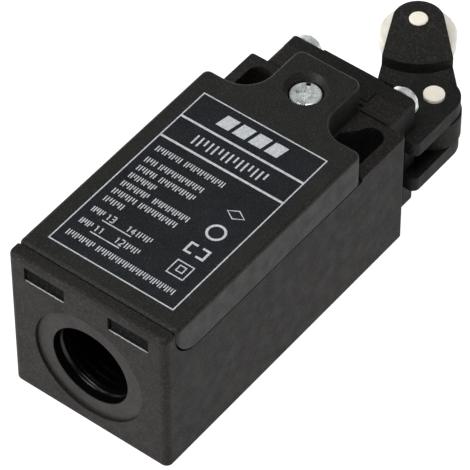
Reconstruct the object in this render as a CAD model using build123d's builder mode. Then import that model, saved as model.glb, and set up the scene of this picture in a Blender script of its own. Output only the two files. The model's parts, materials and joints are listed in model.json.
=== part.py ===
"""Limit switch in a 30 mm moulded body with a one-way roller lever, in millimetres.

+Z points out of the cover, +Y towards the lever head, and +X to the bracket side.
The origin is on the back mounting face, midway between the two fixing holes.
"""
from build123d import *
from math import acos, atan2, cos, hypot, sin
import os

# Body
BODY_W = 30.0            # width of the casing and cover
ENTRY_Y = -54.8          # outer face of the cable-entry end wall
EAR_Y = 5.0              # far end of the fixing ears
EAR_TOP = 23.2           # top of the fixing ears
COVER_BASE = 22.3        # joint between casing and cover
COVER_TOP = 29.1         # top of the cover and of the end wall
WALL = 2.0               # side walls, floor and cover plate
END_WALL = 2.3           # end wall above the cover joint
SHOULDER_Y = -6.6        # where the cover steps in to its tongue
CORNER_R = 1.2           # upright corners of the casing and cover
EAR_CORNER_R = 0.6       # upright corners of the ears
EAR_SOFT_R = 0.35        # top edges of the ears
SOFT_R = 0.8             # top edges of the cover and end wall
BASE_R = 0.5             # edges of the back face
CAVITY_FRONT = -48.4     # cavity wall at the cable entry
CAVITY_BACK = -9.0       # cavity wall at the ears

# Cable entry
ENTRY_Z = 12.9
ENTRY_R = 7.19           # minor radius of an M16 x 1.5 thread
ENTRY_LENGTH = 8.0
ENTRY_FACE_R = 10.3      # sunk ring that a gland seals on
ENTRY_FACE_DEPTH = 0.5
ENTRY_BOSS_R = 9.3

# Cover hooks and windows
JOINT_GAP = 0.25         # between the cover's ends and the casing
SEAM = 0.22              # shadow gap along the cover's lower edge
SEAM_DEPTH = 0.6
SKIRT_IN = 13.4          # inner face of the parts that follow the swept seam
WINDOW_IN, WINDOW_OUT = 4.16, 11.79
WINDOW_LOW, WINDOW_HIGH = 24.7, 27.5
LUG_GAP = 0.4
LUG_CLEAR = 0.12         # under and over each lug
LUG_LENGTH = 2.15
SILL_R = 0.22            # rounded outer edge of each window's sill
COVER_FRONT = ENTRY_Y + END_WALL + JOINT_GAP
TONGUE_HALF = 6.15
TONGUE_END = 5.7
TONGUE_ROUND = 5.0
TONGUE_CORNER_R = 1.5
FRONT_CORNER_R = 1.0
ENTRY_SWEEP = 6.0        # round of the cover's lower corner at the cable entry
ENTRY_EASE = 0.4         # how much tighter the casing turns there
EAR_SWEEP = 2.2          # round of the cover's lower corner at the ears
EAR_EASE = 0.3
GASKET_WIDTH = 0.9
GASKET_THICK = 0.7

# Fixing holes
HOLE_X = 11.0
HOLE_R = 2.15
SLOT_X = 10.85
SLOT_WIDTH = 4.3
SLOT_LOW, SLOT_HIGH = -5.9, 3.4
SLOT_FLOOR = 5.0
POCKET_IN, POCKET_OUT = 6.5, 12.9
POCKET_LOW, POCKET_HIGH = -5.9, -0.8
POCKET_BRIDGE = (8.9, 1.8)   # where the pocket's slanted side meets the slot
POCKET_FLOOR_Z = 9.0

# Cover screw and its insert
SCREW_Y = -0.95
CBORE_R = 3.6            # mouth of the funnel round the screw
CBORE_THROAT_R = 2.85
CBORE_THROAT = 27.9      # height where the funnel meets the straight bore
CBORE_FLOOR = 25.2
SCREW_HEAD_R = 2.55
SCREW_HEAD_TOP = 28.0
SLOT_TURN = 115.6        # direction of the screw's slot
SCREW_R = 1.45
INSERT_R = 2.6
INSERT_LOW, INSERT_HIGH = 17.8, 22.9

# Rating label
LABEL_HALF = 12.0
LABEL_FRONT, LABEL_BACK = -49.0, -11.1
LABEL_THICK = 0.2

# Head
AXIS_Z = 12.2            # height of the plunger axis
NECK_Y = 9.1
NECK_HALF = 12.0
NECK_LOW, NECK_HIGH = 0.6, 23.6
TAB_HALF = 6.1           # lip of the head that reaches back to the cover
TAB_Y = 6.8
TAB_LOW = 22.4
FLANGE_Y = 11.9
FLANGE_HIGH = 23.7
HEAD_SCREW_X = 9.4
HEAD_SCREW_Z = 9.25      # above and below the plunger axis
HEAD_SCREW_R = 1.25
HEAD_SCREW_CAP_R = 2.55
SPOT_DEPTH = 0.25
SPOT_EDGE = 5.9
BOSS_R = 5.0
BOSS_Y = 14.4

# Plunger
PLUNGER_R = 2.5
PLUNGER_TIP = 19.35
STEM_R = 2.0
STEM_END = -9.6
COLLAR_R = 3.6
COLLAR_TOP, COLLAR_LOW = 9.0, 7.5
POCKET_R = 4.3
POCKET_FLOOR = -0.5
RUNNING = 0.05           # radial clearance of a running fit

# Bracket ears, lever and roller
PIVOT_X, PIVOT_Y = 10.4, 19.1
EAR_R = 4.3
EAR_THICK = 2.8
EAR_OUT = 5.4            # outer faces of the ears from the plunger axis
WING_Y = 8.5
WING_R = 1.3             # round of each ear's outer corner
PIVOT_R = 1.75
PIVOT_PROUD = 0.7
HUB_R = 4.55
HUB_HALF = 2.4           # half the thickness of the lever's base
PAD_Y = 19.4             # flat face of the lever that meets the plunger
PAD_LEFT = -0.7
ROLLER_X, ROLLER_Y = -2.15, 32.35
ROLLER_R = 6.35
ROLLER_HALF = 1.5
ROLLER_PIN_R = 1.55
ROLLER_PIN_PROUD = 0.35
PIN_CHAMFER = 0.18
TIP_R = 4.2
FORK_STEP_R = 10.25      # arc about the roller where the fork plates end
FORK_IN, FORK_OUT = 1.75, 4.45
ROLLER_POCKET_R = 7.2

# Contact block
BLOCK_HALF = 12.4
BLOCK_FRONT = -37.0
BLOCK_TOP = 17.4
BLOCK_WALL = 1.4
BLOCK_FLOOR = 5.0
CARRIER_HALF = 3.0
CARRIER_HIGH_HALF = 3.7
CARRIER_END = -28.5
BRIDGE_THICK = 0.6
BRIDGE_HALF = 9.0
BRIDGE_HIGH_HALF = 1.9
RIVET_R = 1.3
RIVET_THICK = 0.5
RIVET_X = 7.4
NC_BRIDGE_Y = -14.8      # cable side of the closed bridge
NO_BRIDGE_Y = -22.2      # cable side of the open bridge
CONTACT_GAP = 4.55       # open gap of the open bridge
WINDOW_ROOM = 2.7        # room for each bridge spring
TAB_THICK = 0.8
TAB_IN, TAB_OUT = 5.0, 9.8
PAD_OUT = 11.9
TERMINAL_X = 8.6
TERMINAL_R = 1.5
PAD_LENGTH = 7.2
WASHER_SIDE = 6.0
WASHER_THICK = 0.8
TERMINAL_HEAD_R = 2.7
TERMINAL_HEAD_THICK = 1.8

SIDES = (-1, 1)
made = []


def facing(y):
    """Plane across the switch at y: local x is X, local y is Z, and extrusion runs towards -Y."""
    return Plane(origin=(0, y, 0), x_dir=(1, 0, 0), z_dir=(0, -1, 0))


def level(z):
    """Plane along the switch at height z, with extrusion upwards."""
    return Plane.XY.offset(z)


def span(low, high):
    """Middle and length of the stretch from low to high."""
    return (low + high) / 2, high - low


def block(x, y, z, mode=Mode.ADD):
    """Box from the (low, high) pairs of x, y and z."""
    (middle_x, size_x), (middle_y, size_y), (middle_z, size_z) = span(*x), span(*y), span(*z)
    with Locations((middle_x, middle_y, middle_z)):
        Box(size_x, size_y, size_z, mode=mode)


def rod_y(radius, low, high, x=0.0, z=AXIS_Z, mode=Mode.ADD):
    """Cylinder along Y from low to high."""
    middle, length = span(low, high)
    with Locations((x, middle, z)):
        Cylinder(radius, length, rotation=(90, 0, 0), mode=mode)


def rod_z(radius, low, high, x=0.0, y=0.0, mode=Mode.ADD):
    """Cylinder along Z from low to high."""
    middle, length = span(low, high)
    with Locations((x, y, middle)):
        Cylinder(radius, length, mode=mode)


def tangent(start, start_r, end, end_r, turn):
    """Unit normal of the line touching two circles, on their left (turn 1) or right (turn -1)."""
    step_x, step_y = end[0] - start[0], end[1] - start[1]
    angle = atan2(step_y, step_x) + turn * acos((start_r - end_r) / hypot(step_x, step_y))
    return cos(angle), sin(angle)


def round_lower_corner(corner_y, inward, radius):
    """Round off the cover's lower corner at corner_y, seen from the side."""
    for start in (-BODY_W / 2 - 1, SKIRT_IN - 0.1):
        with BuildSketch(Plane.YZ.offset(start)) as corner:
            with Locations((corner_y + inward * radius / 2, COVER_BASE + radius / 2)):
                Rectangle(radius, radius)
            with Locations((corner_y + inward * radius, COVER_BASE + radius)):
                Circle(radius, mode=Mode.SUBTRACT)
        extrude(corner.sketch, amount=BODY_W / 2 + 1.1 - SKIRT_IN, mode=Mode.SUBTRACT)


def coil(mean_r, wire_r, low, high, turns):
    """Closed wire helix along Y about the plunger axis, clear of both end faces."""
    start, length = low + wire_r + 0.05, high - low - 2 * wire_r - 0.1
    with BuildPart(mode=Mode.PRIVATE) as wire:
        with BuildLine():
            path = Helix(length / turns, length, mean_r, center=(0, start, AXIS_Z), direction=(0, 1, 0))
        with BuildSketch(Plane(origin=path @ 0, z_dir=path % 0)):
            Circle(wire_r)
        sweep(path=path, is_frenet=True)
    return wire.part


def keep(builder, label):
    """Label a finished piece and remember it for export."""
    builder.part.label = label
    made.append(builder.part)


# ---------------------------------------------------------------- casing
with BuildPart() as casing:
    # side profile, with the joint sweeping up at both ends of the cover
    wall_y, ear_front = ENTRY_Y + END_WALL, SHOULDER_Y + JOINT_GAP
    with BuildSketch(Plane.YZ.offset(-BODY_W / 2)) as profile:
        with BuildLine():
            Polyline(
                (ENTRY_Y, 0),
                (ENTRY_Y, COVER_TOP),
                (wall_y, COVER_TOP),
                (wall_y, COVER_BASE),
                (ear_front, COVER_BASE),
                (ear_front, COVER_TOP),
                (EAR_Y, COVER_TOP),
                (EAR_Y, 0),
                close=True,
            )
        make_face()
        inner = profile.vertices().filter_by(lambda v: abs(v.Y - COVER_BASE) < 0.01).sort_by(Axis.X)
        fillet(inner[0], ENTRY_SWEEP - ENTRY_EASE)
        fillet(inner[1], EAR_SWEEP - EAR_EASE)
    extrude(amount=BODY_W)
    block((-BODY_W, BODY_W), (ear_front - 3, EAR_Y + 1), (EAR_TOP, COVER_TOP + 1), Mode.SUBTRACT)
    corners = casing.edges().filter_by(Axis.Z).group_by(Axis.Y)
    fillet(corners[0], CORNER_R)
    fillet(casing.edges().filter_by(Axis.Z).group_by(Axis.Y)[-1], EAR_CORNER_R)
    ear_face = casing.faces().filter_by(lambda f: abs(f.center().Z - EAR_TOP) < 0.01)[0]
    fillet(ear_face.edges().filter_by(lambda e: e.center().Y > ear_front + 0.5), EAR_SOFT_R)
    fillet(casing.faces().sort_by(Axis.Z)[0].edges(), BASE_R)
    fillet(casing.faces().sort_by(Axis.Z)[-1].edges().sort_by(Axis.Y)[:-1], SOFT_R)
    # neck that the head stands on
    with BuildSketch(facing(NECK_Y)):
        with Locations((0, (NECK_LOW + NECK_HIGH) / 2)):
            RectangleRounded(2 * NECK_HALF, NECK_HIGH - NECK_LOW, 1.0)
    extrude(amount=NECK_Y - EAR_Y + 1.0)
    block((-NECK_HALF, NECK_HALF), (EAR_Y - 1.5, EAR_Y - 0.2), (EAR_TOP, NECK_HIGH), Mode.SUBTRACT)
    block((-TONGUE_HALF - 0.15, TONGUE_HALF + 0.15), (EAR_Y - 0.5, TONGUE_END + 0.15), (EAR_TOP, NECK_HIGH), Mode.SUBTRACT)
    # wiring cavity, with a boss for the cable entry
    block((-BODY_W / 2 + WALL, BODY_W / 2 - WALL), (CAVITY_FRONT, CAVITY_BACK), (WALL, COVER_BASE), Mode.SUBTRACT)
    block((-SKIRT_IN, SKIRT_IN), (wall_y, ear_front), (COVER_BASE, COVER_TOP), Mode.SUBTRACT)
    rod_y(ENTRY_BOSS_R, CAVITY_FRONT, ENTRY_Y + ENTRY_LENGTH, z=ENTRY_Z)
    block((-ENTRY_BOSS_R, ENTRY_BOSS_R), (CAVITY_FRONT, ENTRY_Y + ENTRY_LENGTH), (WALL, ENTRY_Z))
    rod_y(ENTRY_FACE_R, ENTRY_Y, ENTRY_Y + ENTRY_FACE_DEPTH, z=ENTRY_Z, mode=Mode.SUBTRACT)
    rod_y(ENTRY_R, ENTRY_Y, ENTRY_Y + ENTRY_LENGTH, z=ENTRY_Z, mode=Mode.SUBTRACT)
    for side in SIDES:
        # ribs that hold the contact block, window for a cover lug, slot and hole for a fixing screw
        for rib_y in (-33.5, -13.5):
            block(
                sorted((side * BLOCK_HALF, side * (BODY_W / 2 - WALL))),
                (rib_y - 0.5, rib_y + 0.5),
                (WALL, BLOCK_TOP),
            )
        block(
            sorted((side * WINDOW_IN, side * WINDOW_OUT)),
            (ENTRY_Y, ENTRY_Y + END_WALL + 1),
            (WINDOW_LOW, WINDOW_HIGH),
            Mode.SUBTRACT,
        )
        sill = casing.edges().filter_by(
            lambda e: abs(e.center().Z - WINDOW_LOW) < 0.01
            and abs(e.center().Y - ENTRY_Y) < 0.01
            and abs(e.center().X - side * span(WINDOW_IN, WINDOW_OUT)[0]) < 0.01
        )
        fillet(sill, SILL_R)
        with BuildSketch(level(SLOT_FLOOR)):
            with Locations((side * SLOT_X, span(SLOT_LOW, SLOT_HIGH)[0])):
                SlotOverall(SLOT_HIGH - SLOT_LOW, SLOT_WIDTH, rotation=90)
        extrude(amount=EAR_TOP - SLOT_FLOOR, mode=Mode.SUBTRACT)
        with BuildSketch(level(POCKET_FLOOR_Z)):
            with BuildLine():
                Polyline(
                    (side * POCKET_IN, POCKET_LOW),
                    (side * POCKET_IN, POCKET_HIGH),
                    (side * POCKET_BRIDGE[0], POCKET_BRIDGE[1]),
                    (side * POCKET_OUT, POCKET_BRIDGE[1]),
                    (side * POCKET_OUT, POCKET_LOW),
                    close=True,
                )
            make_face()
        extrude(amount=EAR_TOP - POCKET_FLOOR_Z, mode=Mode.SUBTRACT)
        rod_z(HOLE_R, 0, SLOT_FLOOR, x=side * HOLE_X, mode=Mode.SUBTRACT)
        for rise in (-HEAD_SCREW_Z, HEAD_SCREW_Z):
            rod_y(HEAD_SCREW_R, 4.0, NECK_Y, x=side * HEAD_SCREW_X, z=AXIS_Z + rise, mode=Mode.SUBTRACT)
    # plunger pocket, stem bore and seat of the head gasket
    rod_y(POCKET_R, POCKET_FLOOR, NECK_Y, mode=Mode.SUBTRACT)
    rod_y(STEM_R + RUNNING, CAVITY_BACK, POCKET_FLOOR, mode=Mode.SUBTRACT)
    with BuildSketch(facing(NECK_Y)):
        with Locations((0, AXIS_Z)):
            Circle(6.4)
            Circle(5.2, mode=Mode.SUBTRACT)
    extrude(amount=0.8, mode=Mode.SUBTRACT)
    # seat of the brass insert
    rod_z(INSERT_R, INSERT_LOW, EAR_TOP, y=SCREW_Y, mode=Mode.SUBTRACT)
    # recess for the head's lip, and the seat of the cover gasket round the cavity
    block((-TAB_HALF - 0.12, TAB_HALF + 0.12), (TAB_Y - 0.12, NECK_Y), (TAB_LOW - 0.05, NECK_HIGH), Mode.SUBTRACT)
    block(
        (-BODY_W / 2 + WALL - GASKET_WIDTH, BODY_W / 2 - WALL + GASKET_WIDTH),
        (CAVITY_FRONT - GASKET_WIDTH, CAVITY_BACK + GASKET_WIDTH),
        (COVER_BASE - GASKET_THICK, COVER_BASE),
        Mode.SUBTRACT,
    )
keep(casing, "casing")

# ---------------------------------------------------------------- cover
with BuildPart() as cover:
    with BuildSketch(level(COVER_BASE)) as outline:
        with Locations((0, span(COVER_FRONT, SHOULDER_Y)[0])):
            Rectangle(BODY_W, span(COVER_FRONT, SHOULDER_Y)[1])
        with Locations((0, span(SHOULDER_Y - 1, TONGUE_END)[0])):
            Rectangle(2 * TONGUE_HALF, span(SHOULDER_Y - 1, TONGUE_END)[1])
        at_shoulder = outline.vertices().filter_by(lambda v: abs(v.Y - SHOULDER_Y) < 0.01)
        fillet(at_shoulder.filter_by(lambda v: abs(v.X) < BODY_W / 3), TONGUE_ROUND)
        fillet(outline.vertices().filter_by(lambda v: v.Y > SHOULDER_Y - 0.01 and abs(v.X) > BODY_W / 3), CORNER_R)
        fillet(outline.vertices().group_by(Axis.Y)[-1], TONGUE_CORNER_R)
        fillet(outline.vertices().group_by(Axis.Y)[0], FRONT_CORNER_R)
    extrude(amount=COVER_TOP - COVER_BASE)
    fillet(cover.faces().sort_by(Axis.Z)[-1].edges(), SOFT_R)
    block((-BODY_W / 2, BODY_W / 2), (SHOULDER_Y, TONGUE_END + 1), (COVER_BASE, EAR_TOP), Mode.SUBTRACT)
    round_lower_corner(COVER_FRONT, 1, ENTRY_SWEEP)
    round_lower_corner(SHOULDER_Y, -1, EAR_SWEEP)
    block(
        (-BODY_W / 2 + WALL, BODY_W / 2 - WALL),
        (CAVITY_FRONT, CAVITY_BACK),
        (COVER_BASE, COVER_TOP - WALL),
        Mode.SUBTRACT,
    )
    for side in SIDES:
        block(
            sorted((side * (WINDOW_IN + LUG_GAP), side * (WINDOW_OUT - LUG_GAP / 2))),
            (COVER_FRONT - LUG_LENGTH, COVER_FRONT + 1.6),
            (WINDOW_LOW + LUG_CLEAR, WINDOW_HIGH - LUG_GAP / 2),
        )
    with Locations((0, SCREW_Y, span(CBORE_THROAT, COVER_TOP)[0])):
        Cone(CBORE_THROAT_R, CBORE_R, COVER_TOP - CBORE_THROAT, mode=Mode.SUBTRACT)
    rod_z(CBORE_THROAT_R, CBORE_FLOOR, CBORE_THROAT, y=SCREW_Y, mode=Mode.SUBTRACT)
    for side in SIDES:
        block(
            sorted((side * (BODY_W / 2 - SEAM_DEPTH), side * (BODY_W / 2 + 1))),
            (COVER_FRONT, SHOULDER_Y),
            (COVER_BASE, COVER_BASE + SEAM),
            Mode.SUBTRACT,
        )
    rod_z(SCREW_R + 0.15, EAR_TOP, CBORE_FLOOR, y=SCREW_Y, mode=Mode.SUBTRACT)
    block(
        (-LABEL_HALF, LABEL_HALF),
        (LABEL_FRONT, LABEL_BACK),
        (COVER_TOP - LABEL_THICK, COVER_TOP),
        Mode.SUBTRACT,
    )
keep(cover, "cover")

with BuildPart() as cover_gasket:
    with BuildSketch(level(COVER_BASE - GASKET_THICK)):
        middle_y, cavity_length = span(CAVITY_FRONT, CAVITY_BACK)
        with Locations((0, middle_y)):
            Rectangle(BODY_W - 2 * WALL + 2 * GASKET_WIDTH - 0.1, cavity_length + 2 * GASKET_WIDTH - 0.1)
            Rectangle(BODY_W - 2 * WALL, cavity_length, mode=Mode.SUBTRACT)
    extrude(amount=GASKET_THICK)
keep(cover_gasket, "cover_gasket")

with BuildPart() as cover_screw:
    rod_z(SCREW_HEAD_R, CBORE_FLOOR, SCREW_HEAD_TOP, y=SCREW_Y)
    fillet(cover_screw.faces().sort_by(Axis.Z)[-1].edges(), 0.3)
    rod_z(SCREW_R, 18.5, CBORE_FLOOR, y=SCREW_Y)
    with Locations((0, SCREW_Y, SCREW_HEAD_TOP - 0.45)):
        Box(2 * SCREW_HEAD_R, 0.8, 0.9, rotation=(0, 0, SLOT_TURN), mode=Mode.SUBTRACT)
        Box(3.0, 0.7, 0.9, rotation=(0, 0, SLOT_TURN + 90), mode=Mode.SUBTRACT)
    rod_z(0.9, SCREW_HEAD_TOP - 1.6, SCREW_HEAD_TOP, y=SCREW_Y, mode=Mode.SUBTRACT)
keep(cover_screw, "cover_screw")

with BuildPart() as cover_insert:
    rod_z(INSERT_R, INSERT_LOW, INSERT_HIGH, y=SCREW_Y)
    rod_z(SCREW_R + RUNNING, INSERT_LOW, INSERT_HIGH, y=SCREW_Y, mode=Mode.SUBTRACT)
keep(cover_insert, "cover_insert")

with BuildPart() as rating_label:
    block((-LABEL_HALF, LABEL_HALF), (LABEL_FRONT, LABEL_BACK), (COVER_TOP - LABEL_THICK, COVER_TOP - 0.02))
keep(rating_label, "rating_label")

# ---------------------------------------------------------------- head
with BuildPart() as head_housing:
    with BuildSketch(facing(FLANGE_Y)):
        with Locations((0, (NECK_LOW + FLANGE_HIGH) / 2)):
            RectangleRounded(2 * NECK_HALF, FLANGE_HIGH - NECK_LOW, 1.0)
    extrude(amount=FLANGE_Y - NECK_Y)
    chamfer(head_housing.faces().sort_by(Axis.Y)[0].edges(), 0.12)
    for side in SIDES:
        for rise in SIDES:
            block(
                sorted((side * SPOT_EDGE, side * (NECK_HALF + 1))),
                (FLANGE_Y - SPOT_DEPTH, FLANGE_Y),
                sorted((AXIS_Z + rise * SPOT_EDGE, AXIS_Z + rise * (NECK_HALF + 1))),
                Mode.SUBTRACT,
            )
            rod_y(
                HEAD_SCREW_R + 0.1,
                NECK_Y,
                FLANGE_Y,
                x=side * HEAD_SCREW_X,
                z=AXIS_Z + rise * HEAD_SCREW_Z,
                mode=Mode.SUBTRACT,
            )
    # two ears beside the plunger, rooted on the flange and wrapped round its edge
    for inner_face in (AXIS_Z - EAR_OUT, AXIS_Z + EAR_OUT - EAR_THICK):
        with BuildSketch(level(inner_face)) as ear:
            with BuildLine():
                Polyline(
                    (PIVOT_X - EAR_R, PIVOT_Y),
                    (PIVOT_X - EAR_R, FLANGE_Y - 1.0),
                    (NECK_HALF + 0.15, FLANGE_Y - 1.0),
                    (NECK_HALF + 0.15, WING_Y),
                    (PIVOT_X + EAR_R, WING_Y),
                    (PIVOT_X + EAR_R, PIVOT_Y),
                )
                ThreePointArc(
                    (PIVOT_X + EAR_R, PIVOT_Y),
                    (PIVOT_X, PIVOT_Y + EAR_R),
                    (PIVOT_X - EAR_R, PIVOT_Y),
                )
            make_face()
            with Locations((PIVOT_X, PIVOT_Y)):
                Circle(PIVOT_R + 0.02, mode=Mode.SUBTRACT)
            wing = ear.vertices().filter_by(lambda v: abs(v.Y - WING_Y) < 0.01).sort_by(Axis.X)[-1]
            fillet(wing, WING_R)
        extrude(amount=EAR_THICK)
    block((NECK_HALF - 1.5, NECK_HALF + 0.15), (NECK_Y, FLANGE_Y - SPOT_DEPTH), (AXIS_Z - EAR_OUT, AXIS_Z + EAR_OUT))
    # lip that reaches back over the neck to the cover
    block((-TAB_HALF, TAB_HALF), (TAB_Y, NECK_Y), (TAB_LOW, FLANGE_HIGH))
    # guide boss of the plunger, with a seat for its wiper
    rod_y(BOSS_R, FLANGE_Y, BOSS_Y)
    rod_y(PLUNGER_R + RUNNING, NECK_Y, BOSS_Y, mode=Mode.SUBTRACT)
    rod_y(4.0, BOSS_Y - 1.2, BOSS_Y, mode=Mode.SUBTRACT)
keep(head_housing, "head_housing")

with BuildPart() as head_screws:
    for side in SIDES:
        for rise in SIDES:
            screw_x, screw_z = side * HEAD_SCREW_X, AXIS_Z + rise * HEAD_SCREW_Z
            rod_y(HEAD_SCREW_CAP_R, FLANGE_Y - SPOT_DEPTH, FLANGE_Y + 0.65, x=screw_x, z=screw_z)
            rod_y(1.9, FLANGE_Y + 0.65, FLANGE_Y + 1.4, x=screw_x, z=screw_z)
            rod_y(HEAD_SCREW_R - 0.02, 4.3, FLANGE_Y - SPOT_DEPTH, x=screw_x, z=screw_z)
            block(
                (screw_x - 1.4, screw_x + 1.4),
                (FLANGE_Y + 0.6, FLANGE_Y + 1.4),
                (screw_z - 0.35, screw_z + 0.35),
                Mode.SUBTRACT,
            )
            block(
                (screw_x - 0.35, screw_x + 0.35),
                (FLANGE_Y + 0.6, FLANGE_Y + 1.4),
                (screw_z - 1.4, screw_z + 1.4),
                Mode.SUBTRACT,
            )
keep(head_screws, "head_screws")

with BuildPart() as head_gasket:
    with BuildSketch(facing(NECK_Y)):
        with Locations((0, AXIS_Z)):
            Circle(6.35)
            Circle(5.25, mode=Mode.SUBTRACT)
    extrude(amount=0.8)
keep(head_gasket, "head_gasket")

# ---------------------------------------------------------------- plunger
with BuildPart() as plunger:
    rod_y(PLUNGER_R, COLLAR_TOP, PLUNGER_TIP)
    fillet(plunger.faces().sort_by(Axis.Y)[-1].edges(), PLUNGER_R - 0.05)
    rod_y(COLLAR_R, COLLAR_LOW, COLLAR_TOP)
    rod_y(STEM_R, STEM_END, COLLAR_LOW)
keep(plunger, "plunger")

with BuildPart() as plunger_wiper:
    with BuildSketch(facing(BOSS_Y)):
        with Locations((0, AXIS_Z)):
            Circle(3.95)
            Circle(PLUNGER_R + RUNNING, mode=Mode.SUBTRACT)
    extrude(amount=1.2)
keep(plunger_wiper, "plunger_wiper")

with BuildPart() as plunger_spring:
    add(coil(3.1, 0.25, POCKET_FLOOR, COLLAR_LOW, 5.0))
keep(plunger_spring, "plunger_spring")

# ---------------------------------------------------------------- lever
pad_corner = (PAD_LEFT, PAD_Y)
right_x, right_y = tangent((PIVOT_X, PIVOT_Y), HUB_R, (ROLLER_X, ROLLER_Y), TIP_R, -1)
left_x, left_y = tangent(pad_corner, 0, (ROLLER_X, ROLLER_Y), TIP_R, 1)

with BuildPart() as lever:
    with BuildSketch(level(AXIS_Z - FORK_OUT)):
        with BuildLine():
            tip_left = (ROLLER_X + TIP_R * left_x, ROLLER_Y + TIP_R * left_y)
            tip_right = (ROLLER_X + TIP_R * right_x, ROLLER_Y + TIP_R * right_y)
            hub_right = (PIVOT_X + HUB_R * right_x, PIVOT_Y + HUB_R * right_y)
            ThreePointArc(tip_left, (ROLLER_X, ROLLER_Y + TIP_R), tip_right)
            Line(tip_right, hub_right)
            ThreePointArc(hub_right, (PIVOT_X, PIVOT_Y - HUB_R), (PIVOT_X - HUB_R, PIVOT_Y))
            Line((PIVOT_X - HUB_R, PIVOT_Y), (PIVOT_X - HUB_R, PAD_Y))
            Line((PIVOT_X - HUB_R, PAD_Y), pad_corner)
            Line(pad_corner, tip_left)
        make_face()
    extrude(amount=2 * FORK_OUT)
    # step down from the fork plates to the thinner base
    for low in (AXIS_Z - FORK_OUT, AXIS_Z + HUB_HALF):
        with BuildSketch(level(low)):
            with Locations((PIVOT_X - 2, PIVOT_Y + 4)):
                Rectangle(40, 40)
            with Locations((ROLLER_X, ROLLER_Y)):
                Circle(FORK_STEP_R, mode=Mode.SUBTRACT)
        extrude(amount=FORK_OUT - HUB_HALF, mode=Mode.SUBTRACT)
    # pocket of the roller between the plates
    rod_z(ROLLER_POCKET_R, AXIS_Z - FORK_IN, AXIS_Z + FORK_IN, x=ROLLER_X, y=ROLLER_Y, mode=Mode.SUBTRACT)
    rod_z(ROLLER_PIN_R + 0.02, AXIS_Z - FORK_OUT, AXIS_Z + FORK_OUT, x=ROLLER_X, y=ROLLER_Y, mode=Mode.SUBTRACT)
    rod_z(PIVOT_R + RUNNING, AXIS_Z - FORK_OUT, AXIS_Z + FORK_OUT, x=PIVOT_X, y=PIVOT_Y, mode=Mode.SUBTRACT)
keep(lever, "lever")

with BuildPart() as lever_pin:
    pin_half = EAR_OUT + PIVOT_PROUD
    rod_z(PIVOT_R, AXIS_Z - pin_half, AXIS_Z + pin_half, x=PIVOT_X, y=PIVOT_Y)
    chamfer(lever_pin.edges().filter_by(GeomType.CIRCLE), PIN_CHAMFER)
keep(lever_pin, "lever_pin")

with BuildPart() as roller:
    rod_z(ROLLER_R, AXIS_Z - ROLLER_HALF, AXIS_Z + ROLLER_HALF, x=ROLLER_X, y=ROLLER_Y)
    chamfer(roller.edges().filter_by(GeomType.CIRCLE), 0.25)
    rod_z(
        ROLLER_PIN_R + RUNNING,
        AXIS_Z - ROLLER_HALF,
        AXIS_Z + ROLLER_HALF,
        x=ROLLER_X,
        y=ROLLER_Y,
        mode=Mode.SUBTRACT,
    )
keep(roller, "roller")

with BuildPart() as roller_pin:
    pin_half = FORK_OUT + ROLLER_PIN_PROUD
    rod_z(ROLLER_PIN_R, AXIS_Z - pin_half, AXIS_Z + pin_half, x=ROLLER_X, y=ROLLER_Y)
    chamfer(roller_pin.edges().filter_by(GeomType.CIRCLE), PIN_CHAMFER)
keep(roller_pin, "roller_pin")

# ---------------------------------------------------------------- contact block
with BuildPart() as contact_block:
    block((-BLOCK_HALF, BLOCK_HALF), (BLOCK_FRONT, CAVITY_BACK), (WALL, BLOCK_TOP))
    block((-10.2, 10.2), (BLOCK_FRONT + BLOCK_WALL, -11.0), (BLOCK_FLOOR, BLOCK_TOP), Mode.SUBTRACT)
    carrier_low = AXIS_Z - CARRIER_HIGH_HALF
    block((-3.5, 3.5), (BLOCK_FRONT + BLOCK_WALL, -11.0), (BLOCK_FLOOR, carrier_low - 0.1))
    block((-3.2, 3.2), (-11.0, CAVITY_BACK), (carrier_low - 0.1, BLOCK_TOP), Mode.SUBTRACT)
keep(contact_block, "contact_block")

with BuildPart() as contact_block_lid:
    block((-4.6, 4.6), (BLOCK_FRONT, CAVITY_BACK), (BLOCK_TOP, BLOCK_TOP + 1.0))
    block((-4.0, 4.0), (-32.0, -14.0), (BLOCK_TOP + 1.0, BLOCK_TOP + 1.6))
keep(contact_block_lid, "contact_block_lid")

with BuildPart() as contact_carrier:
    block(
        (-CARRIER_HALF, CARRIER_HALF),
        (CARRIER_END, STEM_END),
        (AXIS_Z - CARRIER_HIGH_HALF, AXIS_Z + CARRIER_HIGH_HALF),
    )
    for low in (NC_BRIDGE_Y - WINDOW_ROOM, NO_BRIDGE_Y):
        block(
            (-CARRIER_HALF, CARRIER_HALF),
            (low, low + WINDOW_ROOM + BRIDGE_THICK),
            (AXIS_Z - 2.1, AXIS_Z + 2.1),
            Mode.SUBTRACT,
        )
keep(contact_carrier, "contact_carrier")

for name, low in (("closed_bridge", NC_BRIDGE_Y), ("open_bridge", NO_BRIDGE_Y)):
    with BuildPart() as bridge:
        block(
            (-BRIDGE_HALF, BRIDGE_HALF),
            (low, low + BRIDGE_THICK),
            (AXIS_Z - BRIDGE_HIGH_HALF, AXIS_Z + BRIDGE_HIGH_HALF),
        )
        fillet(bridge.edges().filter_by(Axis.Y), 1.0)
    keep(bridge, name)

closed_face = NC_BRIDGE_Y + BRIDGE_THICK
with BuildPart() as moving_contacts:
    for side in SIDES:
        rod_y(RIVET_R, closed_face, closed_face + RIVET_THICK, x=side * RIVET_X)
        rod_y(RIVET_R, NO_BRIDGE_Y - RIVET_THICK, NO_BRIDGE_Y, x=side * RIVET_X)
keep(moving_contacts, "moving_contacts")

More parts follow.
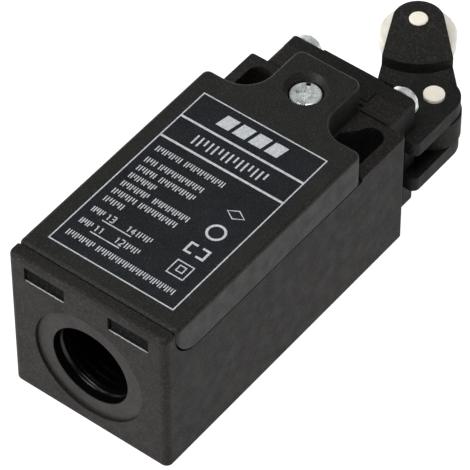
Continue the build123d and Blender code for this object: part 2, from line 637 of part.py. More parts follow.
closed_rest = closed_face + RIVET_THICK + 0.05
open_rest = NO_BRIDGE_Y - RIVET_THICK - CONTACT_GAP
with BuildPart() as fixed_contacts:
    for side in SIDES:
        rod_y(RIVET_R, closed_rest, closed_rest + RIVET_THICK, x=side * RIVET_X)
        rod_y(RIVET_R, open_rest - RIVET_THICK, open_rest, x=side * RIVET_X)
keep(fixed_contacts, "fixed_contacts")

with BuildPart() as bridge_springs:
    add(coil(1.3, 0.18, NC_BRIDGE_Y - WINDOW_ROOM, NC_BRIDGE_Y, 2.5))
    add(coil(1.3, 0.18, NO_BRIDGE_Y + BRIDGE_THICK, NO_BRIDGE_Y + BRIDGE_THICK + WINDOW_ROOM, 2.5))
keep(bridge_springs, "bridge_springs")

with BuildPart() as carrier_spring:
    add(coil(2.2, 0.2, BLOCK_FRONT + BLOCK_WALL, CARRIER_END, 4.0))
keep(carrier_spring, "carrier_spring")

# the terminals: a tab that holds the rivet, and a screw pad on the side wall of the block
closed_tab = closed_rest + RIVET_THICK
open_tab = open_rest - RIVET_THICK - TAB_THICK
pad_backs = {"closed": closed_tab + TAB_THICK, "open": open_tab + TAB_THICK}
tab_lows = {"closed": closed_tab, "open": open_tab}
screw_ys = {kind: pad_backs[kind] - 3.7 for kind in pad_backs}
for kind, back in pad_backs.items():
    for side, hand in ((-1, "left"), (1, "right")):
        with BuildPart() as terminal:
            low = tab_lows[kind]
            block(sorted((side * TAB_IN, side * TAB_OUT)), (low, low + TAB_THICK), (9.6, BLOCK_TOP + TAB_THICK))
            block(
                sorted((side * TAB_IN, side * PAD_OUT)),
                (back - PAD_LENGTH, back),
                (BLOCK_TOP, BLOCK_TOP + TAB_THICK),
            )
            spot = (side * TERMINAL_X, screw_ys[kind])
            rod_z(2.1, BLOCK_TOP - 2.0, BLOCK_TOP, *spot)
            rod_z(TERMINAL_R, BLOCK_TOP - 2.0, BLOCK_TOP + TAB_THICK, *spot, mode=Mode.SUBTRACT)
            if side * TERMINAL_X + side * 2.1 > 10.2 or side * TERMINAL_X + side * 2.1 < -10.2:
                block(
                    sorted((side * 10.15, side * 12.0)),
                    (back - PAD_LENGTH, back),
                    (BLOCK_TOP - 2.0, BLOCK_TOP),
                    Mode.SUBTRACT,
                )
        keep(terminal, f"{kind}_terminal_{hand}")

pad_top = BLOCK_TOP + TAB_THICK
with BuildPart() as clamp_washers:
    for kind in screw_ys:
        for side in SIDES:
            x, y = side * TERMINAL_X, screw_ys[kind]
            half = WASHER_SIDE / 2
            block((x - half, x + half), (y - half, y + half), (pad_top, pad_top + WASHER_THICK))
            rod_z(TERMINAL_R, pad_top, pad_top + WASHER_THICK, x, y, mode=Mode.SUBTRACT)
keep(clamp_washers, "clamp_washers")

head_low = pad_top + WASHER_THICK
with BuildPart() as terminal_screws:
    for kind in screw_ys:
        for side in SIDES:
            x, y = side * TERMINAL_X, screw_ys[kind]
            rod_z(TERMINAL_HEAD_R, head_low, head_low + TERMINAL_HEAD_THICK, x, y)
            rod_z(TERMINAL_R - 0.05, BLOCK_TOP - 2.4, head_low, x, y)
            with Locations((x, y, head_low + TERMINAL_HEAD_THICK - 0.4)):
                Box(2 * TERMINAL_HEAD_R, 0.8, 0.8, rotation=(0, 0, 35), mode=Mode.SUBTRACT)
keep(terminal_screws, "terminal_screws")

os.makedirs("parts", exist_ok=True)
for piece in made:
    export_step(piece, f"parts/{piece.label}.step")
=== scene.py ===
"""Looks of the moulded limit switch: materials, printed label, added detail, studio and camera."""

import json
import math

import bmesh
import bpy
from mathutils import Matrix, Vector


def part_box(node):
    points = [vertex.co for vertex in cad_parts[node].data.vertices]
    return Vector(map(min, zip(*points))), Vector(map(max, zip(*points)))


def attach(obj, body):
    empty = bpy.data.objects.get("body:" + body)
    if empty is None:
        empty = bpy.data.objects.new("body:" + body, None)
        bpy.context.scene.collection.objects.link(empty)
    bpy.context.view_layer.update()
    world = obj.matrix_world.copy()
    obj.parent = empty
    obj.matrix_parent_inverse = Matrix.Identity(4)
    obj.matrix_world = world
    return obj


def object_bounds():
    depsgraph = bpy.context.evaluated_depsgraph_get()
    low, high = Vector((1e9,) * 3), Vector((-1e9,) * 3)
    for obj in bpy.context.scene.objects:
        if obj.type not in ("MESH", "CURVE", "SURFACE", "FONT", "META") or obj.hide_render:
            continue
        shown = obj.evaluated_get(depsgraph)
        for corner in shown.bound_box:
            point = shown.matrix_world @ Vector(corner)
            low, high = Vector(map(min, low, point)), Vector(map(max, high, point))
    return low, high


MM = 0.001

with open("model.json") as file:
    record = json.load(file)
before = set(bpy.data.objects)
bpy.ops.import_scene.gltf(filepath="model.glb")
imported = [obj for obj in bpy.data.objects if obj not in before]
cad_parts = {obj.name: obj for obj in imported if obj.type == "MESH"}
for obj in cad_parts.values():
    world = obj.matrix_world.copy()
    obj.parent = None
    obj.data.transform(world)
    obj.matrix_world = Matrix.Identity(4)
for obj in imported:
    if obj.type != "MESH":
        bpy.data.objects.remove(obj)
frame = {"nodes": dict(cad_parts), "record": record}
cad_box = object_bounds()
nodes = frame["nodes"]


# ---------------------------------------------------------------- materials
class Shader:
    """A Principled material with short helpers for its texture nodes."""

    def __init__(self, name, roughness, metallic=0.0, specular=0.5):
        self.material = bpy.data.materials.new(name)
        self.material.use_nodes = True
        self.tree = self.material.node_tree
        self.bsdf = self.tree.nodes["Principled BSDF"]
        self.bsdf.inputs["Roughness"].default_value = roughness
        self.bsdf.inputs["Metallic"].default_value = metallic
        self.bsdf.inputs["Specular IOR Level"].default_value = specular
        self.place = self.add("ShaderNodeTexCoord").outputs["Object"]

    def add(self, kind, **settings):
        node = self.tree.nodes.new(kind)
        for key, value in settings.items():
            setattr(node, key, value)
        return node

    def link(self, source, target):
        self.tree.links.new(source, target)

    def stretched(self, scale):
        """Object coordinates scaled along each axis."""
        mapping = self.add("ShaderNodeMapping")
        mapping.inputs["Scale"].default_value = scale
        self.link(self.place, mapping.inputs["Vector"])
        return mapping.outputs["Vector"]

    def noise(self, size_mm, detail=2.0, vector=None):
        """Noise whose features are about size_mm across."""
        node = self.add("ShaderNodeTexNoise")
        node.inputs["Scale"].default_value = 1.0 / (size_mm * MM)
        node.inputs["Detail"].default_value = detail
        self.link(vector or self.place, node.inputs["Vector"])
        return node.outputs["Fac"]

    def specks(self, spacing_mm, reach):
        """1 in small spots about spacing_mm apart, and 0 between them."""
        cells = self.add("ShaderNodeTexVoronoi")
        cells.inputs["Scale"].default_value = 1.0 / (spacing_mm * MM)
        self.link(self.place, cells.inputs["Vector"])
        return self.remap(cells.outputs["Distance"], reach, reach * 0.4, 0.0, 1.0)

    def remap(self, source, low, high, to_low, to_high):
        """Source carried from the range low..high to the range to_low..to_high."""
        node = self.add("ShaderNodeMapRange")
        ranges = {"From Min": low, "From Max": high, "To Min": to_low, "To Max": to_high}
        for key, value in ranges.items():
            node.inputs[key].default_value = value
        self.link(source, node.inputs["Value"])
        return node.outputs["Result"]

    def times(self, first, second):
        node = self.add("ShaderNodeMath", operation="MULTIPLY")
        self.link(first, node.inputs[0])
        self.link(second, node.inputs[1])
        return node.outputs["Value"]

    def blend(self, factor, first, second):
        """Mix of two colours, each an (r, g, b) or another node's output."""
        node = self.add("ShaderNodeMix", data_type="RGBA")
        self.link(factor, node.inputs["Factor"])
        for socket, colour in ((node.inputs[6], first), (node.inputs[7], second)):
            if isinstance(colour, tuple):
                socket.default_value = (*colour, 1.0)
            else:
                self.link(colour, socket)
        return node.outputs[2]

    def colour(self, value):
        self.link(value, self.bsdf.inputs["Base Color"])

    def roughness(self, value):
        self.link(value, self.bsdf.inputs["Roughness"])

    def bump(self, height, depth_mm, strength):
        node = self.add("ShaderNodeBump")
        node.inputs["Strength"].default_value = strength
        node.inputs["Distance"].default_value = depth_mm * MM
        self.link(height, node.inputs["Height"])
        self.link(node.outputs["Normal"], self.bsdf.inputs["Normal"])


CLOUD_MM, BLOTCH_MM = 14.0, 2.2
SPECK_SPACING_MM, SPECK_REACH = 1.9, 0.085


def moulding(name, dark, light, rough, ior, grain_mm=0.3, depth_mm=0.035, dust=0.7):
    """Black moulded plastic: spark-eroded grain, soft cloudy tone and a little dust."""
    shader = Shader(name, rough)
    shader.bsdf.inputs["IOR"].default_value = ior
    cloud = shader.noise(CLOUD_MM, detail=3.0)
    blotch = shader.noise(BLOTCH_MM, detail=4.0)
    grain = shader.noise(grain_mm, detail=3.0)
    tone = shader.blend(shader.remap(cloud, 0.35, 0.65, 0.0, 1.0), dark, light)
    peak = tuple(c * 2.4 + 0.006 for c in light)
    tone = shader.blend(shader.remap(grain, 0.5, 0.78, 0.0, 1.0), tone, peak)
    dust_colour = tuple(c * 2.0 + 0.07 for c in light)
    dust_patches = shader.remap(blotch, 0.45, 0.7, 0.0, dust)
    spots = shader.times(shader.specks(SPECK_SPACING_MM, SPECK_REACH), dust_patches)
    shader.colour(shader.blend(spots, tone, dust_colour))
    shader.roughness(shader.remap(blotch, 0.3, 0.7, rough - 0.06, rough + 0.08))
    shader.bump(grain, depth_mm, 0.8)
    return shader.material


SCRATCH_MM = (0.08, 0.08, 2.0)
SCRATCH_DEPTH_MM = 0.004


def metal(name, tint, rough, stain=None, metallic=1.0):
    """Plated or drawn metal with fine marks along one axis and darker patches."""
    shader = Shader(name, rough, metallic=metallic)
    along = shader.stretched(tuple(1.0 / s for s in SCRATCH_MM))
    marks = shader.noise(1.0, detail=3.0, vector=along)
    patch = shader.noise(1.1, detail=3.0)
    darker = stain or tuple(c * 0.72 for c in tint)
    shader.colour(shader.blend(shader.remap(patch, 0.4, 0.7, 0.0, 0.8), tint, darker))
    shader.roughness(shader.remap(marks, 0.3, 0.7, rough - 0.08, rough + 0.12))
    shader.bump(marks, SCRATCH_DEPTH_MM, 0.6)
    return shader.material


SMOOTH_DEPTH_MM = 0.004
SMOOTHEST = 0.03
SUBSURFACE_RADIUS = (0.0012, 0.0010, 0.0008)


def smooth_plastic(name, tint, rough, specular=0.5, subsurface=0.0, mottle=0.06):
    """Smooth moulded or turned plastic with a faint mottle."""
    shader = Shader(name, rough, specular=specular)
    patch = shader.noise(2.5, detail=3.0)
    fine = shader.noise(0.25, detail=2.0)
    darker = tuple(c * (1 - mottle * 2.5) for c in tint)
    shader.colour(shader.blend(shader.remap(patch, 0.35, 0.7, 0.0, 1.0), tint, darker))
    shader.roughness(shader.remap(fine, 0.3, 0.7, max(SMOOTHEST, rough - 0.05), rough + 0.08))
    shader.bump(fine, SMOOTH_DEPTH_MM, 0.5)
    shader.bsdf.inputs["Subsurface Weight"].default_value = subsurface
    if subsurface:
        shader.bsdf.inputs["Subsurface Radius"].default_value = SUBSURFACE_RADIUS
    return shader.material


looks = {
    "casing_plastic": moulding(
        "casing_black", (0.0108, 0.0097, 0.0091), (0.0148, 0.0132, 0.0124), 0.55, 1.21
    ),
    "cover_plastic": moulding(
        "cover_black", (0.0088, 0.0088, 0.0080), (0.0118, 0.0118, 0.0106), 0.5, 1.3
    ),
    "head_plastic": moulding(
        "head_black", (0.0078, 0.0077, 0.0072), (0.0106, 0.0104, 0.0098), 0.55, 1.2
    ),
    "lever_plastic": moulding(
        "lever_black", (0.0132, 0.0130, 0.0122), (0.0170, 0.0166, 0.0156), 0.58, 1.16
    ),
    "label_film": moulding(
        "label_black",
        (0.0060, 0.0072, 0.0088),
        (0.0078, 0.0092, 0.0112),
        0.46,
        1.3,
        depth_mm=0.015,
        dust=0.4,
    ),
    "plunger_plastic": smooth_plastic("plunger_black", (0.02, 0.02, 0.02), 0.35),
    "roller_plastic": smooth_plastic("roller_ivory", (0.86, 0.825, 0.73), 0.42, subsurface=0.3),
    "pin_metal": smooth_plastic("pin_cream", (0.92, 0.87, 0.75), 0.34, mottle=0.04),
    "zinc_steel": metal(
        "zinc_plate", (0.98, 1.0, 0.99), 0.28, stain=(0.42, 0.5, 0.49), metallic=0.6
    ),
    "spring_steel": metal("spring_wire", (0.62, 0.62, 0.61), 0.32),
    "brass": metal("insert_brass", (0.72, 0.55, 0.26), 0.35),
    "copper_alloy": metal("contact_strip", (0.75, 0.55, 0.33), 0.35),
    "contact_silver": metal("contact_silver", (0.88, 0.87, 0.85), 0.2),
    "gasket_rubber": smooth_plastic("gasket_black", (0.012, 0.012, 0.012), 0.7, specular=0.3),
    "block_plastic": smooth_plastic("block_black", (0.012, 0.012, 0.012), 0.4),
    "carrier_plastic": smooth_plastic("carrier_red", (0.35, 0.03, 0.02), 0.45),
}
for row in frame["record"]["subparts"]:
    node = nodes[row["node"]]
    for slot in node.material_slots:
        slot.material = looks[row["material_slot"]]


# ---------------------------------------------------------------- added pieces, shared helpers
STEPS_PER_TURN = 96
ANGLES = [math.tau * step / STEPS_PER_TURN for step in range(STEPS_PER_TURN)]


def piece(name, mesh, material, body):
    """Added object with one material, carried by a body of the model."""
    obj = bpy.data.objects.new(name, mesh)
    bpy.context.scene.collection.objects.link(obj)
    mesh.materials.append(material)
    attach(obj, body)
    return obj


def finished(shape, name):
    """Mesh of a closed bmesh, its faces turned outward."""
    bmesh.ops.recalc_face_normals(shape, faces=shape.faces)
    mesh = bpy.data.meshes.new(name)
    shape.to_mesh(mesh)
    shape.free()
    return mesh


def softened(mesh, angle):
    """Smooth shading, kept sharp where faces meet at more than angle degrees."""
    for polygon in mesh.polygons:
        polygon.use_smooth = True
    mesh.set_sharp_from_angle(angle=math.radians(angle))
    return mesh


def vertex_loops(shape, loops):
    """Vertices for loops of (x, y, z) points in millimetres."""
    return [[shape.verts.new([c * MM for c in point]) for point in loop] for loop in loops]


def bridge(shape, here, after):
    """Faces between two loops of as many vertices."""
    count = len(here)
    for step in range(count):
        beside = (step + 1) % count
        shape.faces.new((here[step], here[beside], after[beside], after[step]))


def closed_ring(name, loops):
    """Closed skin through the loops, the last of them joined to the first."""
    shape = bmesh.new()
    rings = vertex_loops(shape, loops)
    for here, after in zip(rings, rings[1:] + rings[:1]):
        bridge(shape, here, after)
    return finished(shape, name)


def facing_loop(radii, y, centre_z):
    """Circle of points round an axis along Y, with a radius for each of its steps."""
    return [
        (radius * math.cos(angle), y, centre_z + radius * math.sin(angle))
        for radius, angle in zip(radii, ANGLES)
    ]


# ---------------------------------------------------------------- printed label
print_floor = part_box("rating_label")[1].z
PRINT_THICK = 0.008 * MM
ink = Shader("print_grey", 0.5, specular=0.3)
wear = ink.remap(ink.noise(0.5, detail=3.0), 0.35, 0.7, 0.0, 1.0)
ink.colour(ink.blend(wear, (0.50, 0.52, 0.54), (0.36, 0.38, 0.40)))
ink.bump(ink.noise(0.2), 0.003, 0.4)

label_print = bmesh.new()


def print_loop(outline, z):
    return [label_print.verts.new((x * MM, y * MM, z)) for x, y in outline]


def prism(outline, hole=()):
    """Thin closed print shape from an outline in mm, with an optional hole of as many points."""
    low = print_loop(outline, print_floor)
    high = print_loop(outline, print_floor + PRINT_THICK)
    count = len(outline)
    if hole:
        inner_low = print_loop(hole, print_floor)
        inner_high = print_loop(hole, print_floor + PRINT_THICK)
    for i in range(count):
        j = (i + 1) % count
        label_print.faces.new((low[i], low[j], high[j], high[i]))
        if hole:
            label_print.faces.new((inner_low[j], inner_low[i], inner_high[i], inner_high[j]))
            label_print.faces.new((high[i], high[j], inner_high[j], inner_high[i]))
            label_print.faces.new((low[j], low[i], inner_low[i], inner_low[j]))
    if not hole:
        label_print.faces.new(high)
        label_print.faces.new(low[::-1])


def bar(left, right, bottom, top, lean=0.0):
    """Filled block, its top shifted sideways by lean."""
    prism(((left, bottom), (right, bottom), (right + lean, top), (left + lean, top)))


def stroke(start, end, width):
    """Straight line between two points."""
    start, end = Vector(start), Vector(end)
    along = end - start
    side = Vector((-along.y, along.x)).normalized() * width / 2
    prism([tuple(corner) for corner in (start - side, end - side, end + side, start + side)])


def ring(centre, radii, sides, width):
    """Outline of an ellipse or polygon with the given number of sides."""

    def loop(inset):
        return [
            (
                centre[0] + (radii[0] - inset) * math.cos(math.tau * i / sides),
                centre[1] + (radii[1] - inset) * math.sin(math.tau * i / sides),
            )
            for i in range(sides)
        ]

    prism(loop(0.0), loop(width))


def frame_lines(left, right, bottom, top, width):
    """Rectangular outline."""

    def loop(inset):
        return [
            (left + inset, bottom + inset),
            (right - inset, bottom + inset),
            (right - inset, top - inset),
            (left + inset, top - inset),
        ]

    prism(loop(0.0), loop(width))


SHORT_TICK = 0.35


def ticks(left, right, bottom, top, width=0.2, gap=0.24):
    """Stand-in for a printed word: plain upright ticks, with every third one short."""
    count = max(2, round((right - left + gap) / (width + gap)))
    pitch = (right - left - width) / (count - 1)
    for i in range(count):
        x = left + i * pitch
        low = bottom if i % 3 != 2 else bottom + (top - bottom) * SHORT_TICK
        bar(x, x + width, low, top)


# border, the two lines across it, and four plain blocks with a row of ticks at the top
BORDER_X, BORDER_LOW, BORDER_HIGH = 11.88, -48.96, -11.14
BORDER_WIDTH, DIVIDER_HALF = 0.22, 0.21
DIVIDERS_Y = (-17.1, -22.2)
BLOCKS_X, BLOCK_WIDTH, BLOCK_LEAN = (-6.4, -3.3, -0.2, 2.9), 2.4, 0.5
BLOCK_LOW, BLOCK_HIGH = -15.4, -12.8
frame_lines(-BORDER_X, BORDER_X, BORDER_LOW, BORDER_HIGH, BORDER_WIDTH)
for divider in DIVIDERS_Y:
    bar(-BORDER_X + 0.2, BORDER_X - 0.2, divider - DIVIDER_HALF, divider + DIVIDER_HALF)
for left in BLOCKS_X:
    bar(left, left + BLOCK_WIDTH, BLOCK_LOW, BLOCK_HIGH, lean=BLOCK_LEAN)
ticks(-7.0, 6.6, -20.9, -18.8, width=0.32, gap=0.62)

# lines of small ticks: the top of each line, then the left and right end of each word
WORD_HEIGHT = 1.15
UPPER_CONTACTS_Y, LOWER_CONTACTS_Y = -39.75, -42.6
WORDS = (
    (-24.2, ((-10.4, -5.7), (-4.9, 2.5))),
    (-27.0, ((-10.3, -8.3), (-7.6, 0.6))),
    (-29.05, ((-10.2, -6.8), (-5.9, 0.6))),
    (-31.0, ((-10.2, -5.3),)),
    (-33.0, ((-10.1, -5.1), (-4.0, 2.6))),
    (-35.0, ((-10.2, -5.9), (-5.1, 1.8))),
    (-37.0, ((-10.2, -6.7),)),
    (UPPER_CONTACTS_Y, ((-10.3, -8.1), (-1.7, 0.9))),
    (LOWER_CONTACTS_Y, ((-10.3, -8.1), (-1.7, 0.8))),
    (-45.6, ((-10.4, -5.4), (-4.7, 9.8))),
)
for top, words in WORDS:
    for left, right in words:
        ticks(left, right, top - WORD_HEIGHT, top)

# terminal numbers, drawn as strokes on a grid one unit wide and two high
DIGITS = {
    "1": (((0.2, 1.6), (0.6, 2.0)), ((0.6, 2.0), (0.6, 0.0))),
    "2": (
        ((0.0, 2.0), (1.0, 2.0)),
        ((1.0, 2.0), (1.0, 1.1)),
        ((1.0, 1.1), (0.0, 0.0)),
        ((0.0, 0.0), (1.0, 0.0)),
    ),
    "3": (
        ((0.0, 2.0), (1.0, 2.0)),
        ((1.0, 2.0), (1.0, 0.0)),
        ((0.2, 1.05), (1.0, 1.05)),
        ((0.0, 0.0), (1.0, 0.0)),
    ),
    "4": (((0.7, 0.0), (0.7, 2.0)), ((0.7, 2.0), (0.0, 0.6)), ((0.0, 0.6), (1.1, 0.6))),
}
DIGIT_UNIT, DIGIT_LINE, DIGIT_PITCH = 0.6, 0.2, 1.45
FIRST_NUMBER_X, SECOND_NUMBER_X = -7.5, -3.6


def number(text, left, bottom):
    """Digits in a row from the given lower left corner."""
    for place, digit in enumerate(text):
        x = left + place * DIGIT_UNIT * DIGIT_PITCH
        for line in DIGITS[digit]:
            ends = [(x + px * DIGIT_UNIT, bottom + py * DIGIT_UNIT) for px, py in line]
            stroke(*ends, DIGIT_LINE)


for row_top, first, second in ((UPPER_CONTACTS_Y, "13", "14"), (LOWER_CONTACTS_Y, "11", "12")):
    number(first, FIRST_NUMBER_X, row_top - 1.18)
    number(second, SECOND_NUMBER_X, row_top - 1.18)
    bar(-7.6, -2.1, row_top - 1.75, row_top - 1.55)

# plain marks: a double square, a diamond, a circle and a pair of brackets
frame_lines(6.15, 9.4, -43.6, -40.5, 0.2)
frame_lines(7.15, 8.5, -42.6, -41.2, 0.2)
ring((7.6, -28.4), (1.7, 1.05), 4, 0.22)
ring((7.45, -33.0), (1.65, 1.65), 32, 0.42)
BRACKET_LOW, BRACKET_HIGH, BRACKET_LINE = -38.8, -36.5, 0.4
for left, right in ((5.6, 7.0), (7.9, 9.4)):
    bar(left, right, BRACKET_LOW, BRACKET_LOW + BRACKET_LINE)
    bar(left, right, BRACKET_HIGH - BRACKET_LINE, BRACKET_HIGH)
for left in (5.6, 9.0):
    bar(left, left + BRACKET_LINE, BRACKET_LOW + BRACKET_LINE, BRACKET_HIGH - BRACKET_LINE)
piece("label_print", finished(label_print, "label_print"), ink.material, "body")

# ---------------------------------------------------------------- cable entry
ENTRY_AXIS_Z = 12.9
ENTRY_MOUTH, ENTRY_END = -54.2, -46.9
ENTRY_R, ENTRY_SKIN = 7.17, 0.01
THREAD_PITCH, THREAD_RISE, THREAD_FADE = 1.5, 0.1, 0.4
CREST_HALF, CREST_FLATTEN = 0.34, 1.6
LIP_START, LIP_END, LIP_RISE = -52.85, -52.35, 0.34
ROWS_PER_PITCH = 10


def entry_radius(y, turn):
    """Radius of the bore's skin: a plain mouth, a lip, then a shallow thread."""
    phase = ((y - ENTRY_MOUTH) / THREAD_PITCH + turn) % 1.0
    crest = max(0.0, 1.0 - abs(phase - 0.5) / CREST_HALF)
    lip = min(1.0, max(0.0, (y - LIP_START) / (LIP_END - LIP_START)))
    fade = min(1.0, max(0.0, (y - LIP_END) / THREAD_FADE), (ENTRY_END - y) / THREAD_FADE)
    return ENTRY_R - LIP_RISE * lip - THREAD_RISE * min(1.0, crest * CREST_FLATTEN) * fade


def entry_liner():
    """Skin of the bore as a closed sleeve."""
    rows = int((ENTRY_END - ENTRY_MOUTH) / THREAD_PITCH * ROWS_PER_PITCH)
    loops = []
    for row in range(rows + 1):
        y = ENTRY_MOUTH + (ENTRY_END - ENTRY_MOUTH) * row / rows
        radii = [entry_radius(y, step / STEPS_PER_TURN) for step in range(STEPS_PER_TURN)]
        loops.append(facing_loop(radii, y, ENTRY_AXIS_Z))
    outside = [ENTRY_R + ENTRY_SKIN] * STEPS_PER_TURN
    loops += [facing_loop(outside, y, ENTRY_AXIS_Z) for y in (ENTRY_END, ENTRY_MOUTH)]
    return closed_ring("entry_thread", loops)


# the bore's skin is near black, far darker than the casing around it: painted shade inside the
# deep bore; its lip and shallow thread are real shape
thread_painted_shade = smooth_plastic("thread_painted_shade", (0.0015, 0.0015, 0.0015), 0.24, specular=0.35)
piece("entry_thread", softened(entry_liner(), 40), thread_painted_shade, "body")

# smooth ring that a gland seals on, as a thin closed skin
SEAT_Y, SEAT_INNER, SEAT_OUTER, SEAT_SKIN = -54.3, 7.24, 10.24, 0.02
SEAT_CORNERS = (
    (SEAT_INNER, SEAT_Y),
    (SEAT_INNER, SEAT_Y - SEAT_SKIN),
    (SEAT_OUTER, SEAT_Y - SEAT_SKIN),
    (SEAT_OUTER, SEAT_Y),
)
seat_loops = [facing_loop([r] * STEPS_PER_TURN, y, ENTRY_AXIS_Z) for r, y in SEAT_CORNERS]
seat_black = moulding(
    "seat_black",
    (0.0125, 0.0104, 0.0098),
    (0.0155, 0.0130, 0.0122),
    0.42,
    1.26,
    grain_mm=0.2,
    depth_mm=0.006,
    dust=0.2,
)
piece("gland_seat", closed_ring("gland_seat", seat_loops), seat_black, "body")

# ---------------------------------------------------------------- end-wall windows
# faces of the cover lugs in the windows, coloured darker than the cover as painted shade in the
# window recess, and the sharp lip that the mould left along each sill, coloured light grey as a
# painted highlight
WINDOW_IN, WINDOW_OUT, WINDOW_LOW, WINDOW_HIGH = 4.16, 11.79, 24.7, 27.5
LUG_FACE, LUG_RIPPLE = -54.4, 0.015
LUG_SKIN_OUT, LUG_SKIN_IN = 0.03, 0.02
LIP_Y, LIP_DROP, LIP_R, LIP_END_GAP = -54.64, 0.03, 0.13, 0.05
LIP_SIDES, LIP_STATIONS = 14, 30
# the lug faces are far darker than the cover they belong to: painted shade in the window recess
lug_painted_shade = moulding(
    "lug_painted_shade",
    (0.0035, 0.0034, 0.0033),
    (0.0052, 0.0050, 0.0048),
    0.75,
    1.12,
    grain_mm=0.5,
    depth_mm=0.12,
    dust=0.8,
)
# a light grey bead on black plastic: a painted highlight along each sill's edge
lip_painted_highlight = smooth_plastic("lip_painted_highlight", (0.16, 0.155, 0.15), 0.3, specular=1.0)


def plate(name, low, high, ripple):
    """Thin closed plate facing the cable, with a gently uneven outer face."""
    columns, rows = 24, 8
    shape = bmesh.new()
    sheets = []
    for depth in (low.y, high.y):
        sheet = []
        for i in range(columns + 1):
            column = []
            for j in range(rows + 1):
                x = low.x + (high.x - low.x) * i / columns
                z = low.z + (high.z - low.z) * j / rows
                wave = ripple * math.sin(i * 1.7) * math.cos(j * 2.3) if depth == low.y else 0.0
                column.append(shape.verts.new((x * MM, (depth + wave) * MM, z * MM)))
            sheet.append(column)
        sheets.append(sheet)
    front, rear = sheets
    for i in range(columns):
        for j in range(rows):
            for sheet in (front, rear):
                shape.faces.new(
                    (sheet[i][j], sheet[i + 1][j], sheet[i + 1][j + 1], sheet[i][j + 1])
                )
    rim = [(i, 0) for i in range(columns)] + [(columns, j) for j in range(rows)]
    rim += [(i, rows) for i in range(columns, 0, -1)] + [(0, j) for j in range(rows, 0, -1)]
    bridge(shape, [front[i][j] for i, j in rim], [rear[i][j] for i, j in rim])
    return finished(shape, name)


def lip_swell(share):
    """Thickness along the lip: tapered ends and a slight waviness."""
    taper = min(1.0, 0.35 + 6 * share, 0.35 + 6 * (1 - share))
    return taper * (1 + 0.12 * math.sin(share * 41))


def sill_lip(name, start_x, end_x):
    """Closed bead along X with a round section."""
    loops = []
    for station in range(LIP_STATIONS + 1):
        share = station / LIP_STATIONS
        x = start_x + (end_x - start_x) * share
        radius = LIP_R * lip_swell(share)
        loops.append(
            [
                (
                    x,
                    LIP_Y + radius * math.cos(math.tau * k / LIP_SIDES),
                    WINDOW_LOW - LIP_DROP + radius * math.sin(math.tau * k / LIP_SIDES),
                )
                for k in range(LIP_SIDES)
            ]
        )
    bead = bmesh.new()
    rings = vertex_loops(bead, loops)
    for here, after in zip(rings, rings[1:]):
        bridge(bead, here, after)
    bead.faces.new(rings[0])
    bead.faces.new(rings[-1][::-1])
    return finished(bead, name)


for side, hand in ((-1, "left"), (1, "right")):
    near, far = sorted((side * (WINDOW_IN + 0.42), side * (WINDOW_OUT - 0.22)))
    skin = plate(
        f"lug_shade_skin_{hand}",
        Vector((near, LUG_FACE - LUG_SKIN_OUT, WINDOW_LOW + 0.14)),
        Vector((far, LUG_FACE + LUG_SKIN_IN, WINDOW_HIGH - 0.22)),
        LUG_RIPPLE,
    )
    piece(f"lug_shade_skin_{hand}", skin, lug_painted_shade, "body")
    near, far = sorted((side * (WINDOW_IN + LIP_END_GAP), side * (WINDOW_OUT - LIP_END_GAP)))
    lip = sill_lip(f"sill_lip_{hand}", near, far)
    piece(f"sill_lip_{hand}", softened(lip, 60), lip_painted_highlight, "body")

# ---------------------------------------------------------------- cover screw funnel
SCREW_WELL_X, SCREW_WELL_Y = 0.0, -0.95
WELL_PROFILE = (
    (3.66, 29.05),
    (3.60, 29.00),
    (3.42, 28.78),
    (3.15, 28.36),
    (2.90, 27.95),
    (2.83, 27.80),
    (2.83, 25.30),
    (2.86, 25.30),
    (2.86, 27.88),
)
well_loops = [
    [(SCREW_WELL_X + r * math.cos(a), SCREW_WELL_Y + r * math.sin(a), height) for a in ANGLES]
    for r, height in WELL_PROFILE
]
well_black = smooth_plastic("well_black", (0.004, 0.004, 0.004), 0.14, specular=0.9)
well = softened(closed_ring("screw_well", well_loops), 50)
piece("screw_well", well, well_black, "body")

# ---------------------------------------------------------------- studio
centre = (cad_box[0] + cad_box[1]) / 2


def area_light(name, azimuth, elevation, distance, size, power):
    """Soft square light aimed at the switch, in degrees, metres and watts.

    Azimuth 0 shines from -Y, and 90 from +X.
    """
    light = bpy.data.lights.new(name, "AREA")
    light.shape, light.size, light.energy = "SQUARE", size, power
    obj = bpy.data.objects.new(name, light)
    bpy.context.scene.collection.objects.link(obj)
    a, e = math.radians(azimuth), math.radians(elevation)
    towards = Vector((math.sin(a) * math.cos(e), -math.cos(a) * math.cos(e), math.sin(e)))
    obj.location = centre + towards * distance
    obj.rotation_mode = "QUATERNION"
    obj.rotation_quaternion = (-towards).to_track_quat("-Z", "Y")


area_light("overhead", 20, 82, 0.9, 0.6, 7.0)
area_light("front_left", -28, 24, 0.8, 0.45, 4.2)
area_light("low_strip", -25, 8, 0.8, 0.14, 0.9)

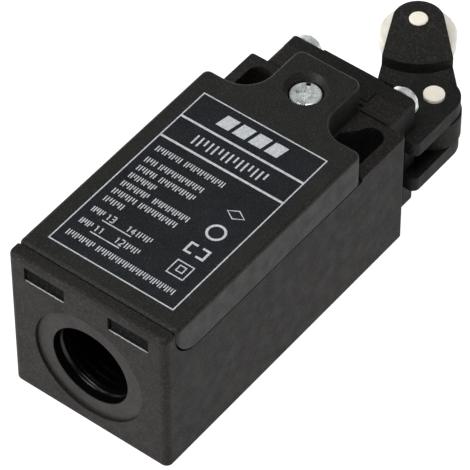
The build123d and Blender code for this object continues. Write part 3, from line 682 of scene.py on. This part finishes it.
FLOOR_HALF, FLOOR_GAP_MM = 1.5, 0.02
FLOOR_CORNERS = ((-1, -1), (1, -1), (1, 1), (-1, 1))
floor_mesh = bpy.data.meshes.new("floor")
floor_mesh.from_pydata(
    [(x * FLOOR_HALF, y * FLOOR_HALF, 0.0) for x, y in FLOOR_CORNERS], [], [(0, 1, 2, 3)]
)
floor = bpy.data.objects.new("floor", floor_mesh)
bpy.context.scene.collection.objects.link(floor)
floor.location.z = cad_box[0].z - FLOOR_GAP_MM * MM
paper = bpy.data.materials.new("paper_white")
paper.use_nodes = True
paper_shader = paper.node_tree.nodes["Principled BSDF"]
paper_shader.inputs["Base Color"].default_value = (0.2, 0.2, 0.2, 1.0)
paper_shader.inputs["Roughness"].default_value = 0.9
paper_shader.inputs["Specular IOR Level"].default_value = 0.1
paper_shader.inputs["Emission Color"].default_value = (1.0, 1.0, 1.0, 1.0)
paper_shader.inputs["Emission Strength"].default_value = 1.0
floor_mesh.materials.append(paper)

# white surroundings, bright at the horizon and dim overhead
world = bpy.data.worlds.new("studio")
bpy.context.scene.world = world
world.use_nodes = True
sky = world.node_tree.nodes
height = sky.new("ShaderNodeSeparateXYZ")
dimming = sky.new("ShaderNodeMapRange")
for key, value in (("From Min", 0.1), ("From Max", 0.45), ("To Min", 0.9), ("To Max", 0.06)):
    dimming.inputs[key].default_value = value
direction = sky.new("ShaderNodeTexCoord").outputs["Generated"]
world.node_tree.links.new(direction, height.inputs["Vector"])
world.node_tree.links.new(height.outputs["Z"], dimming.inputs["Value"])
world.node_tree.links.new(dimming.outputs["Result"], sky["Background"].inputs["Strength"])
sky["Background"].inputs["Color"].default_value = (1.0, 1.0, 1.0, 1.0)
bpy.context.scene.view_settings.view_transform = "Standard"

# ---------------------------------------------------------------- camera
CAMERA_PLACE_MM = (246.37, -335.79, 456.77)
AZIMUTH, ELEVATION, ROLL = math.radians(37.86), math.radians(47.99), math.radians(-0.19)
SENSOR_MM, LENS_MM = 36.0, 296.16
camera_data = bpy.data.cameras.new("camera")
camera = bpy.data.objects.new("camera", camera_data)
bpy.context.scene.collection.objects.link(camera)
camera_data.sensor_width, camera_data.lens = SENSOR_MM, LENS_MM
camera_data.clip_start, camera_data.clip_end = 0.05, 10.0
back = Vector(
    (
        math.sin(AZIMUTH) * math.cos(ELEVATION),
        -math.cos(AZIMUTH) * math.cos(ELEVATION),
        math.sin(ELEVATION),
    )
)
facing = (-back).to_track_quat("-Z", "Y").to_matrix()
turned = (facing @ Matrix.Rotation(ROLL, 3, "Z")).to_4x4()
camera.matrix_world = Matrix.Translation(Vector(CAMERA_PLACE_MM) * MM) @ turned
bpy.context.scene.camera = camera
